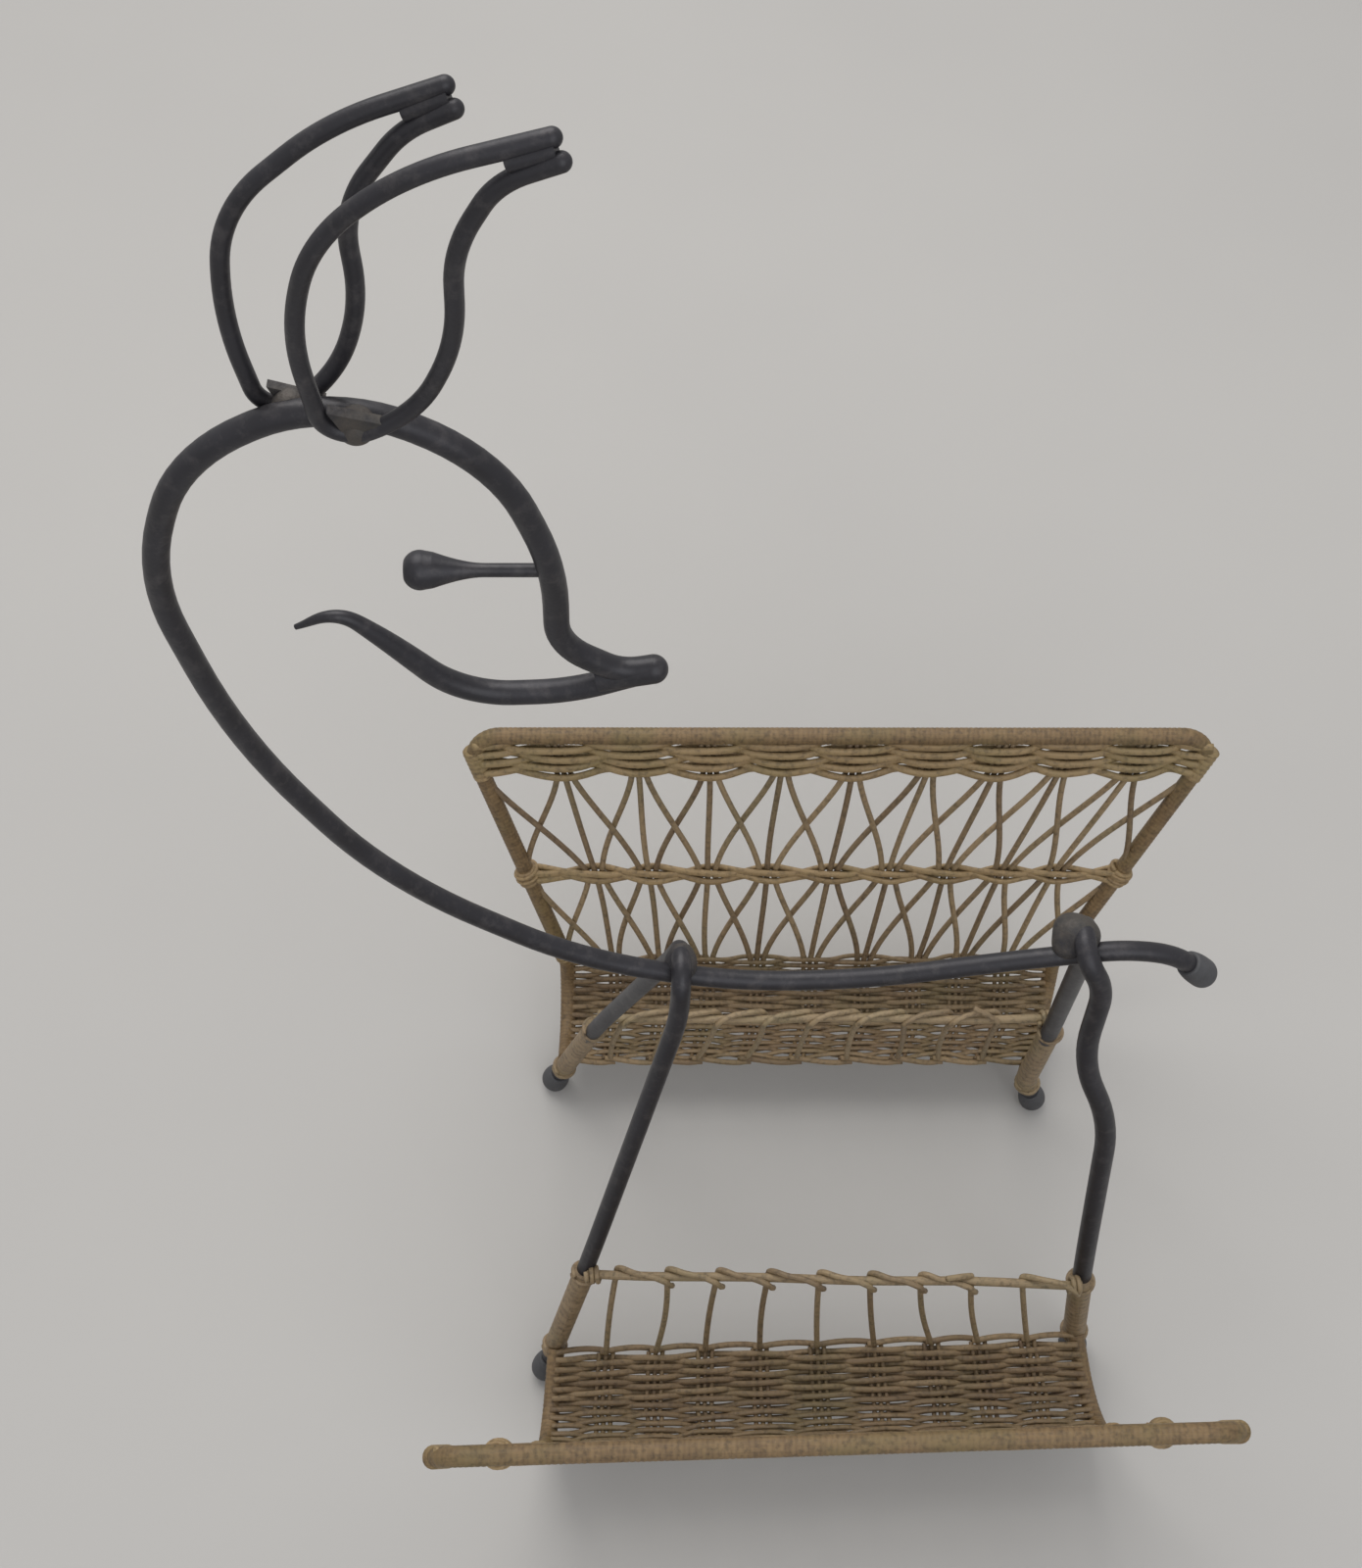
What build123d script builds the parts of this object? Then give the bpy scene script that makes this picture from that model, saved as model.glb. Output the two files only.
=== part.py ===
from build123d import *
import os
from math import atan2, cos, degrees, hypot, radians, sin, tan

# A wrought-iron donkey that looks back over its tail and carries two wicker pockets for
# magazines, one on each side. X runs from the chest to the tail, Y across the animal and
# Z up. The sizes below are from the floor, from the plane of the back bar (Y = 0) and from
# the place where the front legs cross the back (X = 0). At the end the whole is shifted,
# so that its origin is on the floor under the middle of its overall size.
# The near side is -Y and the far side is +Y.

# ---- round bar stock
BODY_BAR = 8.0
FRONT_LEG_BAR = 8.0
REAR_LEG_BAR = 8.8
EAR_BAR = 5.0
WELD_GAP = 0.05  # room left between two bars that touch at a weld

# ---- back, neck and face: one bar in the plane Y = 0, given by its bend points (X, Z)
BACK_BENDS = [(208, 283), (194, 299), (173, 303), (129, 293), (75, 277), (18, 275)]
NECK_BENDS = [(-41, 296), (-108, 359), (-147, 453), (-158, 540)]
FACE_BENDS = [(-138, 593), (-94, 617), (-52, 592), (-38, 545), (-39, 506), (-20, 492), (-9, 494)]
JAW_BENDS = [(-14, 491), (-36, 481), (-70, 479), (-92, 509), (-104, 523), (-118, 515)]
JAW_TIP = 1.8  # thickness of the forged point
JAW_TAPER_FROM = 0.45  # share of the jaw's length that keeps the full bar
JAW_TAPER_POWER = 2.0
JAW_STATIONS = 29
SNOUT_BEAD = 9.4  # brass round the muzzle, from the fork of its two bars to the rounded nose
SNOUT_FORK, SNOUT_NOSE = (-27.0, 488.5), (-9.5, 493.0)

# ---- eye: a forged nail welded inside the face bar
EYE_X, EYE_Z = -82.0, 543.0
EYE_STEM, EYE_HEAD = 4.2, 11.5
EYE_FACE = 6.3  # flat in the middle of the nail's rounded head
EYE_SHOULDER = 10.6  # where the head's edge turns into the flare
EYE_HEAD_LENGTH, EYE_FLARE_LENGTH = 8.5, 15.0
EYE_STEM_LENGTH = 22.0

# ---- ears: bend points (X, height over the ear's root, shift out of the ear's own plane)
EAR_LEAN = 4.3  # degrees that each ear leans outwards
NEAR_EAR_Z, FAR_EAR_Z = 608.0, 606.0
EAR_TIP_SHIFT = 1.6
EAR_FORK = 4  # which bend point is the fork at the root
EAR_WEB = [(2, 16), (6, 5), (17, 11)]  # corners of the brazed web, from the fork
EAR_WEB_THICKNESS = 3.0
EAR_BEAD, EAR_BEAD_AT = 11.0, (8.0, 2.0)
EAR_TIP_BEAD, EAR_TIP_BEAD_LENGTH = 4.4, 12.0
NEAR_EAR = [(-30, 105, -EAR_TIP_SHIFT), (-63, 96, 0), (-88, 74, 0), (-98, 41, 0), (-95, -4, 0),
            (-70, 10, 0), (-57, 38, 0), (-55, 71, 0), (-43, 93, 0), (-28, 101, EAR_TIP_SHIFT)]
FAR_EAR = [(-56, 98, -EAR_TIP_SHIFT), (-84, 89, 0), (-114, 64, 0), (-119, 30, 0), (-113, -8, 0),
           (-91, 13, 0), (-83, 36, 0), (-84, 65, 0), (-67, 87, 0), (-54, 94, EAR_TIP_SHIFT)]

# ---- legs: each pair is one bar bent over the back; points (X, distance from Y = 0, Z)
FRONT_X, REAR_X = 0.0, 157.0
FRONT_BACK_Z, REAR_BACK_Z = 282.0, 300.8  # height of the back bar's axis at each pair
NEAR_FRONT_LEG = [(-1, 13, 268), (-44, 59, 95), (-66, 77, 6)]
FAR_FRONT_LEG = [(-3, 14, 270), (-42, 64, 95), (-66, 77, 6)]
NEAR_REAR_LEG = [(166, 12, 292), (163, 23, 249), (180, 34, 212), (184, 63, 100), (195, 66, 6)]
FAR_REAR_LEG = [(166, 16, 280), (183, 63, 95), (180, 65, 33), (187, 66, 6)]

LEG_WELD = 14.0  # diameter of the bead where a leg bar crosses the back

# ---- feet and tail cap: drop-shaped rubber caps pushed on the bar ends
FOOT_BALL, FOOT_NECK = 14.0, 10.8
FOOT_HEIGHT = 17.0
TAIL_CAP_BALL, TAIL_CAP_NECK, TAIL_CAP_LENGTH, TAIL_CAP_COVER = 12.4, 10.8, 17.0, 11.0
CAP_LIP = 1.0  # rounding of a cap's open edge

# ---- cane work
FRAME_CORE, FRAME_OUTSIDE = 5.0, 7.4
LEG_WRAP = 1.0  # thickness of the cane bound round a leg
WRAP_OVER_FOOT = 3.0  # clear length of leg between a foot and the binding
RAIL_ROD, RAIL_KNOT, RAIL_KNOT_LENGTH = 4.2, 8.4, 8.0
RAIL_Z = 100.0
RAIL_OUT = 4.0  # the rail runs this far outside the centres of the legs
RAIL_FIRST_KNOT, RAIL_LAST_KNOT = 0.06, 0.88  # shares of the rail's length
REED = 3.0
REED_LAYER = REED + 0.1  # from one layer of crossing reeds to the next
STAKES = 9
SHEET = 7.0  # thickness of the close weave
BAND = 8.6  # thickness of the two open-work bands

# ---- one pocket, cut across: distance from Y = 0, and height
POCKET_EDGE = (75.0, 34.0)  # inner edge of the close weave
POCKET_FLOOR = (116.0, 14.0)  # where floor and outer panel would meet without the bend
POCKET_RIM = (165.0, 204.0)
POCKET_BEND = 26.0
SIDE_BEND = 24.0
RIM_CORNER = 13.0
FLOOR_FLARE = 12.0  # the close weave widens this far inside the bend of the floor
FRAME_END_Z = 31.0  # height at which the frame is tied to the legs

# ---- the outer panel, measured up its slope from the line of the lowest knots
KNOT_LINE_Z = 48.0
WEAVE_OVER_KNOTS = 4.0
MIDDLE_BAND_AT, MIDDLE_BAND_HEIGHT = 67.0, 8.0
RIM_BAND_HEIGHT = 25.0
KNOT_LENGTH = 9.0  # of the ties that hold the bands to the frame

SIDES = {
    # side: +1 or -1 along Y, frame X at the floor and at the rim, front and rear, and the
    # amount that the panel closes in towards the tail, per unit of length
    "near": dict(sign=-1, floor=(-63.0, 199.0), rim=(-99.5, 222.0), toe=0.03,
                 front_leg=NEAR_FRONT_LEG, rear_leg=NEAR_REAR_LEG),
    "far": dict(sign=1, floor=(-59.0, 197.0), rim=(-102.0, 257.0), toe=0.0,
                front_leg=FAR_FRONT_LEG, rear_leg=FAR_REAR_LEG),
}
BEND_FILL = 0.48  # share of the shorter run that a bend may use
BIG = 1000.0  # reach of the blocks that cut or keep one side
NODES = {}


def save(node, shape):
    """Keeps one node until the whole is placed."""
    NODES[node] = shape


def write_nodes():
    """Puts the origin on the floor under the middle of the whole, and writes every node."""
    boxes = [shape.bounding_box() for shape in NODES.values()]
    middle_x = (min(box.min.X for box in boxes) + max(box.max.X for box in boxes)) / 2
    middle_y = (min(box.min.Y for box in boxes) + max(box.max.Y for box in boxes)) / 2
    shift = Pos(-middle_x, -middle_y, 0)
    for node, shape in NODES.items():
        placed = group([shift * solid for solid in shape.solids()])
        placed.label = node
        export_step(placed, f"parts/{node}.step")


def group(shapes):
    """The solids of several shapes as one compound."""
    return Compound(children=[solid for shape in shapes for solid in shape.solids()])


def biggest(shape):
    return max(shape.solids(), key=lambda solid: solid.volume)


def bent_path(points, radii=None):
    """Straight runs joined by tangent arcs, each arc as large as its two runs allow."""
    points = [Vector(*point) for point in points]
    if radii is None:
        radii = []
        for a, b, c in zip(points, points[1:], points[2:]):
            run = min((b - a).length, (c - b).length)
            turn = radians((b - a).get_angle(c - b))
            radii.append(BEND_FILL * run / tan(turn / 2))
    return FilletPolyline(*points, radius=radii)


def bar(path, diameter):
    """A round bar along a path."""
    return sweep(Plane(path @ 0, z_dir=path % 0) * Circle(diameter / 2), path)


def rod(start, end, diameter):
    """A straight round rod."""
    start, end = Vector(*start), Vector(*end)
    return extrude(Plane(start, z_dir=end - start) * Circle(diameter / 2), (end - start).length)


def slab(low, high):
    """A box from two corners."""
    size = [b - a for a, b in zip(low, high)]
    middle = [(a + b) / 2 for a, b in zip(low, high)]
    return Pos(*middle) * Box(*size)


def upright(points):
    """Points (X, Z) set in the plane Y = 0."""
    return [(x, 0, z) for x, z in points]


# ---------------------------------------------------------------- iron

def make_jaw(body_bar):
    """The second bar of the muzzle: full bar at the snout, forged to a curled point."""
    path = bent_path(upright(JAW_BENDS))
    rings = []
    for i in range(JAW_STATIONS):
        t = i / (JAW_STATIONS - 1)
        taper = max(0, (t - JAW_TAPER_FROM) / (1 - JAW_TAPER_FROM))
        width = BODY_BAR - (BODY_BAR - JAW_TIP) * taper ** JAW_TAPER_POWER
        rings.append(Plane(path @ t, x_dir=(0, 1, 0), z_dir=path % t) * Circle(width / 2))
    return biggest(loft(rings) - body_bar)


def make_eye(body_bar):
    """A nail: a round head, a flared neck and a thin stem that ends at the face bar."""
    face, stem, head, shoulder = EYE_FACE / 2, EYE_STEM / 2, EYE_HEAD / 2, EYE_SHOULDER / 2
    rim = EYE_HEAD_LENGTH * 0.7
    flare = EYE_HEAD_LENGTH + EYE_FLARE_LENGTH
    outline = Line((0, 0), (face, 0))
    outline += ThreePointArc((face, 0), (head * 0.95, rim * 0.4), (head, rim))
    outline += Line((head, rim), (shoulder, EYE_HEAD_LENGTH))
    outline += Spline((shoulder, EYE_HEAD_LENGTH), (stem * 1.3, flare * 0.75), (stem, flare),
                      tangents=[(-0.35, 1), (0, 1)])
    top = flare + EYE_STEM_LENGTH
    outline += Polyline((stem, flare), (stem, top), (0, top), (0, 0))
    profile = Plane((EYE_X, 0, EYE_Z), x_dir=(0, 0, 1), z_dir=(0, 1, 0)) * make_face(outline)
    nail = revolve(profile, Axis((EYE_X, 0, EYE_Z), (1, 0, 0)))
    return biggest(nail - body_bar)


def ear_plane(sign, root_z):
    """The leaning plane of an ear, whose bar touches the side of the head bar."""
    touch = (BODY_BAR + EAR_BAR) / 2 + WELD_GAP
    lean = radians(EAR_LEAN)
    out_of_plane = (0, -cos(lean), sign * sin(lean))
    return Plane((0, sign * touch, root_z), x_dir=(1, 0, 0), z_dir=out_of_plane)


def make_ear(sign, root_z, points):
    """One bar bent to a leaf, with its two ends side by side at the tip."""
    plane = ear_plane(sign, root_z)
    path = bent_path([plane.from_local_coords(Vector(*point)) for point in points])
    ends = [Pos(*(path @ t)) * Sphere(EAR_BAR / 2) for t in (0, 1)]
    return biggest(bar(path, EAR_BAR) + ends)


def make_ear_web(sign, root_z, points, ear, body_bar):
    """The brazed web in the fork of an ear, with the bead that joins it to the head bar."""
    plane = ear_plane(sign, root_z)
    fork_x, fork_up, _ = points[EAR_FORK]
    web = Polyline(*[(fork_x + x, fork_up + up) for x, up in EAR_WEB], close=True)
    plate = extrude(plane * make_face(web), EAR_WEB_THICKNESS / 2, both=True)
    bead_x, bead_up = EAR_BEAD_AT
    bead = Pos(fork_x + bead_x, sign * BODY_BAR / 2, root_z + bead_up) * Sphere(EAR_BEAD / 2)
    return biggest(plate + bead - ear - body_bar)


def arch_points(x, back_z, bar_size, near, far):
    """Bend points of a pair of legs: up the near side, over the back and down again."""
    reach = (BODY_BAR + bar_size) / 2 + WELD_GAP
    near_side = [(px, -py, pz) for px, py, pz in reversed(near)]
    crown = [(x, -reach, back_z + reach), (x, reach, back_z + reach)]
    return near_side + crown + list(far)


def leg_at(leg, z):
    """A point on a leg's bend line at height z: X and distance from Y = 0."""
    for (x1, y1, z1), (x2, y2, z2) in zip(leg, leg[1:]):
        if z2 <= z <= z1:
            t = (z1 - z) / (z1 - z2)
            return x1 + (x2 - x1) * t, y1 + (y2 - y1) * t
    raise ValueError(f"the leg doesn't reach the height {z}")


def make_foot(sign, leg, legs):
    """A drop-shaped cap whose ball is centred on the leg's end, cut flat where it stands."""
    (x1, y1, z1), (x2, y2, z2) = leg[-2:]
    down = Vector(x2 - x1, sign * (y2 - y1), z2 - z1).normalized()
    end = Vector(x2, sign * y2, z2)
    profile = drop_profile(FOOT_BALL, FOOT_NECK, FOOT_HEIGHT)
    base = Plane(end + down * (FOOT_BALL / 2), x_dir=(0, sign, 0), z_dir=down * -1)
    cap = revolve(base * profile, Axis(base.origin, base.z_dir))
    cap -= slab((-BIG, -BIG, -BIG), (BIG, BIG, 0))
    return biggest(cap - legs)


def drop_profile(ball, neck, height):
    """Half outline of a drop in the X-Z plane: a ball that draws in to a rounded neck."""
    r, half_neck = ball / 2, neck / 2
    lip_low, lip_in = height - CAP_LIP, half_neck - CAP_LIP
    halfway = ((r + half_neck) / 2 + 0.3, (r + height) / 2)
    lip_middle = (lip_in + CAP_LIP * sin(radians(45)), lip_low + CAP_LIP * cos(radians(45)))
    outline = ThreePointArc((0, 0), (r * sin(radians(45)), r - r * cos(radians(45))), (r, r))
    outline += Spline((r, r), halfway, (half_neck, lip_low), tangents=[(0, 1), (-0.25, 1)])
    outline += ThreePointArc((half_neck, lip_low), lip_middle, (lip_in, height))
    outline += Polyline((lip_in, height), (0, height), (0, 0))
    return Plane.XZ * make_face(outline)


def make_tail_cap(body_bar):
    """A longer cap on the end of the tail."""
    (x1, z1), (x2, z2) = BACK_BENDS[1], BACK_BENDS[0]
    out = Vector(x2 - x1, 0, z2 - z1).normalized()
    end = Vector(x2, 0, z2)
    base = Plane(end + out * (TAIL_CAP_LENGTH - TAIL_CAP_COVER), x_dir=(0, 1, 0), z_dir=out * -1)
    profile = drop_profile(TAIL_CAP_BALL, TAIL_CAP_NECK, TAIL_CAP_LENGTH)
    cap = revolve(base * profile, Axis(base.origin, base.z_dir))
    return biggest(cap - body_bar)


def make_leg_weld(x, back_z, legs, body_bar):
    """A bead of brass run round the crossing of a leg bar and the back."""
    bead = Pos(x, 0, back_z + BODY_BAR / 2) * Sphere(LEG_WELD / 2)
    return group([bead - legs - body_bar])


def make_snout_weld(jaw, body_bar):
    """The brass that fills the fork of jaw and face bar and rounds off the nose."""
    fork, nose = upright([SNOUT_FORK, SNOUT_NOSE])
    bead = rod(fork, nose, SNOUT_BEAD) + Pos(*nose) * Sphere(SNOUT_BEAD / 2)
    return biggest(bead - jaw - body_bar)


def make_ear_tip_weld(sign, root_z, points, ear):
    """The brass run along the groove between the two bar ends at an ear's tip."""
    plane = ear_plane(sign, root_z)
    tip = (Vector(*points[0]) + Vector(*points[-1])) * 0.5
    back = (Vector(*points[1]) + Vector(*points[-2])) * 0.5 - tip
    start = tip + back.normalized() * EAR_TIP_BEAD_LENGTH
    ends = [plane.from_local_coords(place) for place in (start, tip)]
    return group([rod(*ends, EAR_TIP_BEAD) - ear])


# ---------------------------------------------------------------- one wicker pocket

def side_line(side, z, end):
    """X of the frame at height z, at the front (0) or the rear (1) of a pocket."""
    low, high = side["floor"][end], side["rim"][end]
    t = max(0.0, (z - KNOT_LINE_Z) / (POCKET_RIM[1] - KNOT_LINE_Z))
    return low + (high - low) * t


def pocket_middle(side):
    """X halfway along a pocket's floor."""
    return sum(side["floor"]) / 2


def place(side, x, across, z):
    """A point of a pocket, with the panel's toe-in added."""
    return Vector(x, side["sign"] * (across - side["toe"] * (x - pocket_middle(side))), z)


def frame_path(side, wrap):
    """The rod round the outer panel, from one leg under the floor, round and back."""
    ends = []
    for leg, end in ((side["front_leg"], 0), (side["rear_leg"], 1)):
        x, y = leg_at(leg, FRAME_END_Z)
        ends.append(Vector(x, side["sign"] * (y + wrap), FRAME_END_Z))
    knots = (knot_line_across(), KNOT_LINE_Z)
    floor_x = [side_line(side, POCKET_FLOOR[1], end) for end in (0, 1)]
    knot_x = [side_line(side, KNOT_LINE_Z, end) for end in (0, 1)]
    rim_x = [side_line(side, POCKET_RIM[1], end) for end in (0, 1)]
    points = [ends[0], place(side, floor_x[0], *POCKET_FLOOR), place(side, knot_x[0], *knots),
              place(side, rim_x[0], *POCKET_RIM), place(side, rim_x[1], *POCKET_RIM),
              place(side, knot_x[1], *knots), place(side, floor_x[1], *POCKET_FLOOR), ends[1]]
    bends = [POCKET_BEND, SIDE_BEND, RIM_CORNER]
    return bent_path(points, bends + bends[::-1])


def knot_line_across():
    """Distance of the lowest knots from Y = 0, on the slope of the outer panel."""
    (y1, z1), (y2, z2) = POCKET_FLOOR, POCKET_RIM
    return y1 + (y2 - y1) * (KNOT_LINE_Z - z1) / (z2 - z1)


def panel_slope():
    """Length of the outer panel from the lowest knots to the rim."""
    return hypot(POCKET_RIM[0] - knot_line_across(), POCKET_RIM[1] - KNOT_LINE_Z)


def on_panel(side, share, up, out=0.0):
    """A point of the outer panel: share of its width, length up its slope, and offset."""
    lean = atan2(POCKET_RIM[0] - knot_line_across(), POCKET_RIM[1] - KNOT_LINE_Z)
    z = KNOT_LINE_Z + up * cos(lean) - out * sin(lean)
    across = knot_line_across() + up * sin(lean) + out * cos(lean)
    front, rear = side_line(side, z, 0), side_line(side, z, 1)
    return place(side, front + (rear - front) * share, across, z)


def panel_band(side, low, high, corner=0):
    """A band of weave across the outer panel, between two heights up its slope."""
    around = ((0, low), (1, low), (1, high), (0, high))
    corners = [on_panel(side, share, up) for share, up in around]
    edge = FilletPolyline(*corners, radius=[0, 0, corner, corner], close=True)
    return extrude(Face(Wire(edge.edges())), BAND / 2, both=True)


def crossing_reeds(side, low, high):
    """Upright reeds with one leaning layer before them and one behind, one open row."""
    reeds = []
    shares = [i / (STAKES + 1) for i in range(STAKES + 2)]
    for share in shares[1:-1]:
        reeds.append(rod(on_panel(side, share, low), on_panel(side, share, high), REED))
    for a, b in zip(shares, shares[1:]):
        for start, end, layer in ((a, b, REED_LAYER), (b, a, -REED_LAYER)):
            reeds.append(rod(on_panel(side, start, low, layer), on_panel(side, end, high, layer), REED))
    return reeds


def close_weave(side):
    """The closely woven floor: a bent sheet from the inner edge to the lowest knots."""
    across = knot_line_across()
    top = (across + WEAVE_OVER_KNOTS * 0.25, KNOT_LINE_Z + WEAVE_OVER_KNOTS)
    front_leg = leg_at(side["front_leg"], FRAME_END_Z)[0]
    rear_leg = leg_at(side["rear_leg"], FRAME_END_Z)[0]
    profile = FilletPolyline(POCKET_EDGE, POCKET_FLOOR, top, radius=POCKET_BEND)
    start = side["floor"][0] - SHEET
    length = side["floor"][1] + SHEET - start
    across_x = Plane((start, 0, 0), x_dir=(0, 1, 0), z_dir=(1, 0, 0))
    sheet = extrude(across_x * trace(profile, SHEET), length)
    if side["sign"] < 0:
        sheet = mirror(sheet, Plane.XZ)
    turn = -side["sign"] * degrees(atan2(side["toe"], 1))
    pivot = (pocket_middle(side), side["sign"] * knot_line_across(), 0)
    sheet = Pos(*pivot) * Rot(Z=turn) * Pos(*[-c for c in pivot]) * sheet
    front, rear = side["floor"]
    edge, flare, outer = POCKET_EDGE[0], POCKET_FLOOR[0] - FLOOR_FLARE, POCKET_RIM[0]
    inner = edge - 2 * SHEET
    plan = [(front_leg, inner), (rear_leg, inner), (rear_leg, edge), (rear, flare),
            (rear, outer), (front, outer), (front, flare), (front_leg, edge)]
    outline = Polyline(*[(x, side["sign"] * y) for x, y in plan], close=True)
    return sheet & extrude(make_face(outline), POCKET_RIM[1])


def rail_ends(side):
    """The inner rail's ends, against the outer sides of the two legs."""
    ends = []
    for leg in (side["front_leg"], side["rear_leg"]):
        x, y = leg_at(leg, RAIL_Z)
        ends.append(Vector(x, side["sign"] * (y + RAIL_OUT), RAIL_Z))
    return ends


def make_pocket(name, side, front_legs, rear_legs):
    """All the nodes of one pocket."""
    sign = side["sign"]
    bound_low, bound_high = FOOT_HEIGHT + WRAP_OVER_FOOT, RAIL_Z - RAIL_ROD / 2
    half = slab((-BIG, min(0, sign * BIG), bound_low), (BIG, max(0, sign * BIG), bound_high))
    wraps, wrap_cuts = {}, {}
    for place_name, legs in (("front", front_legs), ("rear", rear_legs)):
        wrapped = bar(legs["path"], legs["size"] + 2 * LEG_WRAP)
        wrap_cuts[place_name] = biggest(wrapped & half)
        wraps[place_name] = biggest((wrapped & half) - legs["bar"])
    bound = [wrap_cuts["front"], wrap_cuts["rear"]]
    iron = [front_legs["bar"], rear_legs["bar"]]

    path = frame_path(side, FRONT_LEG_BAR / 2)
    core, outside = bar(path, FRAME_CORE), bar(path, FRAME_OUTSIDE)
    core = biggest(core - bound - iron)
    skin = biggest(outside - bar(path, FRAME_CORE) - bound - iron)
    clear = [outside, *bound, *iron]

    slope = panel_slope()
    rim_low = slope - RIM_BAND_HEIGHT
    middle_low = MIDDLE_BAND_AT - MIDDLE_BAND_HEIGHT / 2
    middle_high = MIDDLE_BAND_AT + MIDDLE_BAND_HEIGHT / 2
    rim_band = biggest(panel_band(side, rim_low, slope, RIM_CORNER) - clear)
    middle_band = biggest(panel_band(side, middle_low, middle_high) - clear)
    floor = biggest(close_weave(side) - clear)
    seats = [floor, middle_band, rim_band]
    lower = [biggest(reed - clear - seats)
             for reed in crossing_reeds(side, WEAVE_OVER_KNOTS / 2, middle_low)]
    upper = [biggest(reed - clear - seats) for reed in crossing_reeds(side, middle_high, rim_low)]

    ties = []
    for up in (MIDDLE_BAND_AT, 2 * WEAVE_OVER_KNOTS, rim_low):
        for end in (0, 1):
            a = on_panel(side, end, up - KNOT_LENGTH / 2)
            b = on_panel(side, end, up + KNOT_LENGTH / 2)
            ties.append(rod(a, b, FRAME_OUTSIDE + 2 * LEG_WRAP))
    ties = [biggest(tie - clear - seats - lower - upper) for tie in ties]

    front, rear = rail_ends(side)
    floor_front = leg_at(side["front_leg"], FRAME_END_Z)[0]
    floor_rear = leg_at(side["rear_leg"], FRAME_END_Z)[0]
    half_knot = (rear - front).normalized() * (RAIL_KNOT_LENGTH / 2)
    rail = biggest(rod(front, rear, RAIL_ROD) - bound - iron)
    knots, stakes = [], []
    for i in range(STAKES):
        along_floor = (i + 1) / (STAKES + 1)
        along_rail = RAIL_FIRST_KNOT + (RAIL_LAST_KNOT - RAIL_FIRST_KNOT) * i / (STAKES - 1)
        middle = front + (rear - front) * along_rail
        knot = rod(middle - half_knot, middle + half_knot, RAIL_KNOT)
        foot = place(side, floor_front + (floor_rear - floor_front) * along_floor, *POCKET_EDGE)
        stakes.append(biggest(rod(foot, middle, REED) - knot - floor))
        knots.append(biggest(knot - rail))

    save(f"{name}_frame_rod", core)
    save(f"{name}_frame_binding", skin)
    save(f"{name}_front_leg_binding", wraps["front"])
    save(f"{name}_rear_leg_binding", wraps["rear"])
    save(f"{name}_floor_weave", floor)
    save(f"{name}_lower_reeds", group(lower))
    save(f"{name}_middle_band", middle_band)
    save(f"{name}_upper_reeds", group(upper))
    save(f"{name}_rim_band", rim_band)
    save(f"{name}_frame_ties", group(ties))
    save(f"{name}_inner_rail", rail)
    save(f"{name}_inner_stakes", group(stakes))
    save(f"{name}_rail_knots", group(knots))


def main():
    os.makedirs("parts", exist_ok=True)
    body_bar = bar(bent_path(upright(BACK_BENDS + NECK_BENDS + FACE_BENDS)), BODY_BAR)
    jaw = make_jaw(body_bar)
    save("back_neck_bar", body_bar)
    save("jaw_bar", jaw)
    save("eye_nail", make_eye(body_bar))
    save("tail_cap", make_tail_cap(body_bar))
    save("snout_braze", make_snout_weld(jaw, body_bar))

    ears = {"near": (-1, NEAR_EAR_Z, NEAR_EAR), "far": (1, FAR_EAR_Z, FAR_EAR)}
    webs, beads = [], []
    for name, (sign, root_z, points) in ears.items():
        ear = make_ear(sign, root_z, points)
        save(f"{name}_ear", ear)
        webs.append(make_ear_web(sign, root_z, points, ear, body_bar))
        beads.append(make_ear_tip_weld(sign, root_z, points, ear))
    save("ear_root_braze", group(webs))
    save("ear_tip_braze", group(beads))

    pairs = {}
    for name, x, back_z, size, near, far in (
        ("front", FRONT_X, FRONT_BACK_Z, FRONT_LEG_BAR, NEAR_FRONT_LEG, FAR_FRONT_LEG),
        ("rear", REAR_X, REAR_BACK_Z, REAR_LEG_BAR, NEAR_REAR_LEG, FAR_REAR_LEG),
    ):
        path = bent_path(arch_points(x, back_z, size, near, far))
        pairs[name] = {"path": path, "size": size, "bar": bar(path, size)}
        save(f"{name}_legs", pairs[name]["bar"])
        save(f"{name}_legs_braze", make_leg_weld(x, back_z, pairs[name]["bar"], body_bar))
        save(f"near_{name}_foot", make_foot(-1, near, pairs[name]["bar"]))
        save(f"far_{name}_foot", make_foot(1, far, pairs[name]["bar"]))

    for name, side in SIDES.items():
        make_pocket(name, side, pairs["front"], pairs["rear"])
    write_nodes()


main()
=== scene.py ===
import math
import random

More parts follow.
